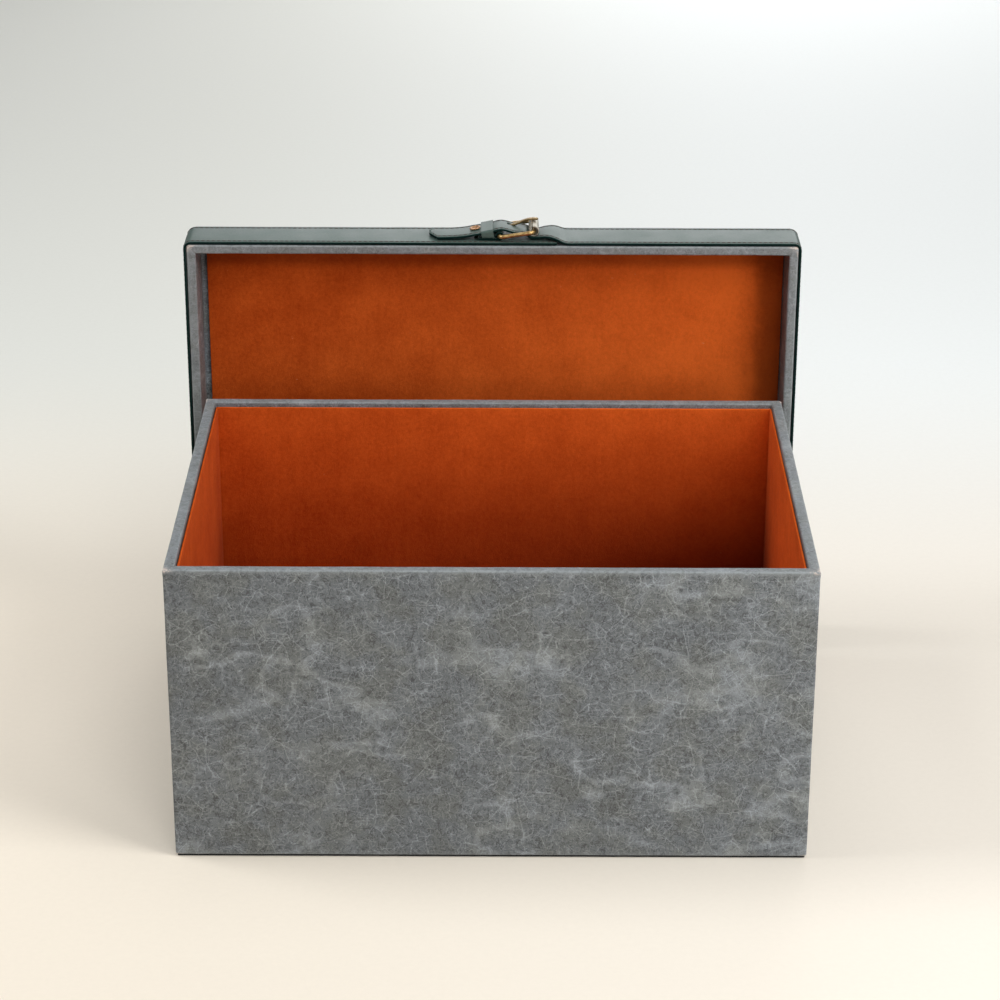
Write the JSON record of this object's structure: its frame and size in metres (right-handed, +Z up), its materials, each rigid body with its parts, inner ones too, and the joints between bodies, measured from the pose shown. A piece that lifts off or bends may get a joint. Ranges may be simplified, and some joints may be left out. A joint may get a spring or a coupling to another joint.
{
  "type": "archival box",
  "caption": "Leather-covered archival box with suede lining and a loose lift-off lid, belted round its skirt with a strap and roller buckle.",
  "frame": {"origin": "centre of the box's underside, on the surface it stands on", "axes": "+Z up, +X to the right along the box's long side, +Y from the box's front towards the lid that stands behind it"},
  "size_m": [0.3782, 0.3025, 0.2862],
  "materials": {
    "greyboard": "uncoated board",
    "grey_leather": "waxed, creased, matt",
    "black_cloth": "matt book cloth",
    "orange_suede": "napped",
    "green_leather": "smooth, satin",
    "aged_brass": "worn antique"
  },
  "bodies": {
    "box": {"base_cover": "black_cloth", "base_board": "greyboard", "front_board": "greyboard", "back_board": "greyboard", "left_board": "greyboard", "right_board": "greyboard", "outer_cover": "grey_leather", "lining_floor": "orange_suede", "lining_front": "orange_suede", "lining_back": "orange_suede", "lining_left": "orange_suede", "lining_right": "orange_suede"},
    "lid": {"lid_top_board": "greyboard", "lid_front_board": "greyboard", "lid_back_board": "greyboard", "lid_left_board": "greyboard", "lid_right_board": "greyboard", "lid_cover": "grey_leather", "lid_lining": "orange_suede", "belt_strap": "green_leather", "buckle_chape": "green_leather", "keeper_loop": "green_leather", "strap_rivet": "aged_brass"},
    "frame": {"buckle_frame": "aged_brass"},
    "roller": {"buckle_roller": "aged_brass"},
    "prong": {"buckle_prong": "aged_brass"}
  },
  "joints": [
    {"name": "lid_lift", "type": "slide", "parent": "box", "child": "lid", "axis": [0, 0, 1], "range_m": [0, 0.25]},
    {"name": "buckle_rock", "type": "hinge", "parent": "lid", "child": "frame", "pos_m": [0.0032, 0.1529, 0.2782], "axis": [0, -1, 0], "range_deg": [0, 4]},
    {"name": "prong_lift", "type": "hinge", "parent": "frame", "child": "prong", "pos_m": [0.0032, 0.1529, 0.2782], "axis": [0, -1, 0], "range_deg": [0, 5]},
    {"name": "roller_spin", "type": "hinge", "parent": "frame", "child": "roller", "pos_m": [0.0242, 0.1529, 0.2814], "axis": [0, 1, 0], "continuous": true}
  ]
}
